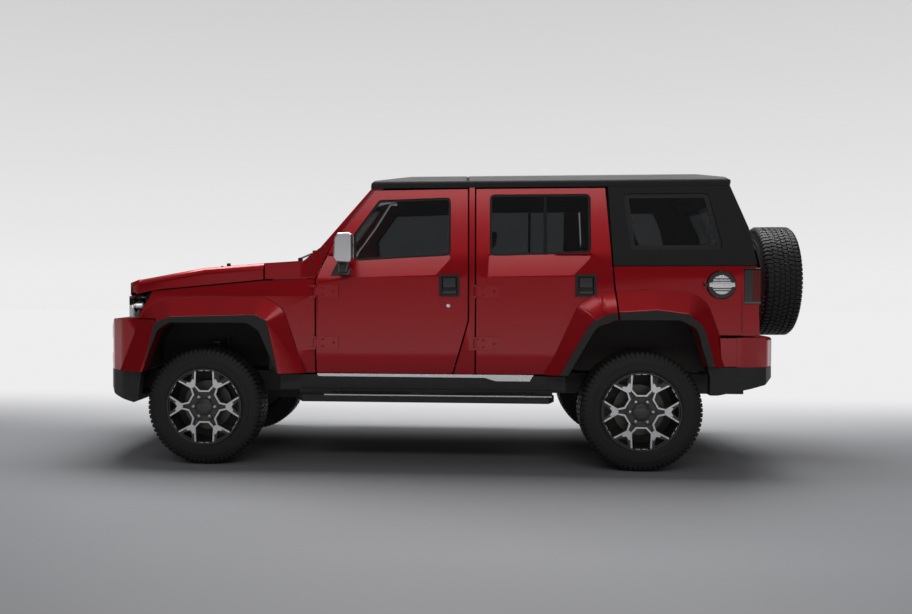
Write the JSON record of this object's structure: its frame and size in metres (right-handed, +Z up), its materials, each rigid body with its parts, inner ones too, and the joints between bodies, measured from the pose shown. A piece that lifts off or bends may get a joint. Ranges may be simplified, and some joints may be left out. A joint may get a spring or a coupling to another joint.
{
  "type": "lifted off-road vehicle",
  "caption": "Lifted off-road vehicle with side doors, flared arches, a dark hard top and a spare wheel on its side-hinged tailgate.",
  "frame": {"origin": "centre of the bounding box on the ground under the tyres", "axes": "+X to the rear of the vehicle, +Y to its right side, +Z up"},
  "size_m": [4.616, 2.17, 1.864],
  "materials": {
    "red_paint": "deep metallic gloss",
    "black_trim": "grained satin",
    "black_steel": "satin black",
    "roof_black": "satin",
    "cabin_plastic": "fine grain",
    "cast_grey": "as cast",
    "exhaust_steel": "dull",
    "floor_black": "dull",
    "seat_cloth": "woven",
    "silver_trim": "bright",
    "tinted_glass": "dark tint",
    "clear_glass": "clear",
    "lamp_glass": "clear lens",
    "red_lens": "clear red",
    "alloy": "machined and painted",
    "tyre_rubber": "black rubber"
  },
  "bodies": {
    "shell": {"arch_trims": "black_trim", "body_sides": "red_paint", "chassis_frame": "black_steel", "dashboard": "cabin_plastic", "drive_line": "cast_grey", "engine": "cast_grey", "exhaust": "exhaust_steel", "floor_pan": "floor_black", "front_axle": "cast_grey", "front_bumper": "red_paint", "front_fenders": "red_paint", "front_panel": "red_paint", "front_seats": "seat_cloth", "front_skirt": "black_trim", "fuel_tank": "floor_black", "grille": "black_trim", "hardtop": "roof_black", "headlamps": "lamp_glass", "quarter_glass": "tinted_glass", "rear_axle": "cast_grey", "rear_bumper": "red_paint", "rear_seat": "seat_cloth", "rear_skirt": "black_trim", "roll_cage": "black_steel", "roof_front": "roof_black", "side_steps": "black_trim", "sill_trims": "black_trim", "tail_frame": "red_paint", "tail_lamps": "red_lens", "windscreen": "clear_glass", "windscreen_frame": "red_paint"},
    "left_knuckle": {"knuckle_left": "cast_grey"},
    "right_knuckle": {"knuckle_right": "cast_grey"},
    "front_left_wheel": {"tyre_front_left": "tyre_rubber", "rim_front_left": "alloy"},
    "front_right_wheel": {"tyre_front_right": "tyre_rubber", "rim_front_right": "alloy"},
    "rear_left_wheel": {"tyre_rear_left": "tyre_rubber", "rim_rear_left": "alloy"},
    "rear_right_wheel": {"tyre_rear_right": "tyre_rubber", "rim_rear_right": "alloy"},
    "steering": {"steering_wheel": "cabin_plastic"},
    "left_front_door": {"door_front_left": "red_paint", "glass_front_left": "tinted_glass", "mirror_left": "silver_trim"},
    "right_front_door": {"door_front_right": "red_paint", "glass_front_right": "tinted_glass", "mirror_right": "silver_trim"},
    "left_rear_door": {"door_rear_left": "red_paint", "glass_rear_left": "tinted_glass"},
    "right_rear_door": {"door_rear_right": "red_paint", "glass_rear_right": "tinted_glass"},
    "bonnet": {"hood": "red_paint"},
    "gate": {"tailgate": "red_paint", "tailgate_glass": "tinted_glass", "spare_tyre": "tyre_rubber", "spare_rim": "alloy"},
    "flap": {"fuel_flap": "silver_trim"}
  },
  "joints": [
    {"name": "steer_left", "type": "hinge", "parent": "shell", "child": "left_knuckle", "pos_m": [-1.5715, -0.707, 0.3725], "axis": [0, 0, 1], "range_deg": [-32, 32]},
    {"name": "steer_right", "type": "hinge", "parent": "shell", "child": "right_knuckle", "pos_m": [-1.5715, 0.707, 0.3725], "axis": [0, 0, 1], "range_deg": [-32, 32]},
    {"name": "spin_front_left", "type": "hinge", "parent": "left_knuckle", "child": "front_left_wheel", "pos_m": [-1.5715, -0.797, 0.3725], "axis": [0, 1, 0], "continuous": true},
    {"name": "spin_front_right", "type": "hinge", "parent": "right_knuckle", "child": "front_right_wheel", "pos_m": [-1.5715, 0.797, 0.3725], "axis": [0, 1, 0], "continuous": true},
    {"name": "spin_rear_left", "type": "hinge", "parent": "shell", "child": "rear_left_wheel", "pos_m": [1.1735, -0.797, 0.3725], "axis": [0, 1, 0], "continuous": true},
    {"name": "spin_rear_right", "type": "hinge", "parent": "shell", "child": "rear_right_wheel", "pos_m": [1.1735, 0.797, 0.3725], "axis": [0, 1, 0], "continuous": true},
    {"name": "steering_column", "type": "hinge", "parent": "shell", "child": "steering", "pos_m": [-0.551, -0.38, 1.085], "axis": [0.9063, 0, 0.4226], "range_deg": [-480, 480]},
    {"name": "door_hinge_front_left", "type": "hinge", "parent": "shell", "child": "left_front_door", "pos_m": [-0.856, -0.898, 0.95], "axis": [0, 0, 1], "range_deg": [-65, 0]},
    {"name": "door_hinge_front_right", "type": "hinge", "parent": "shell", "child": "right_front_door", "pos_m": [-0.856, 0.898, 0.95], "axis": [0, 0, 1], "range_deg": [0, 65]},
    {"name": "door_hinge_rear_left", "type": "hinge", "parent": "shell", "child": "left_rear_door", "pos_m": [0.156, -0.898, 0.95], "axis": [0, 0, 1], "range_deg": [-65, 0]},
    {"name": "door_hinge_rear_right", "type": "hinge", "parent": "shell", "child": "right_rear_door", "pos_m": [0.156, 0.898, 0.95], "axis": [0, 0, 1], "range_deg": [0, 65]},
    {"name": "hood_hinge", "type": "hinge", "parent": "shell", "child": "bonnet", "pos_m": [-1.1945, 0, 1.288], "axis": [0, 1, 0], "range_deg": [0, 45]},
    {"name": "tailgate_hinge", "type": "hinge", "parent": "shell", "child": "gate", "pos_m": [1.8975, 0.672, 1.05], "axis": [0, 0, 1], "range_deg": [0, 80]},
    {"name": "fuel_flap_hinge", "type": "hinge", "parent": "shell", "child": "flap", "pos_m": [1.5535, -0.89, 1.154], "axis": [0, 0, 1], "range_deg": [-90, 0]}
  ],
  "couplings": [
    {"joint": "steer_right", "follows": "steer_left", "ratio": 1},
    {"joint": "steering_column", "follows": "steer_left", "ratio": -14}
  ]
}
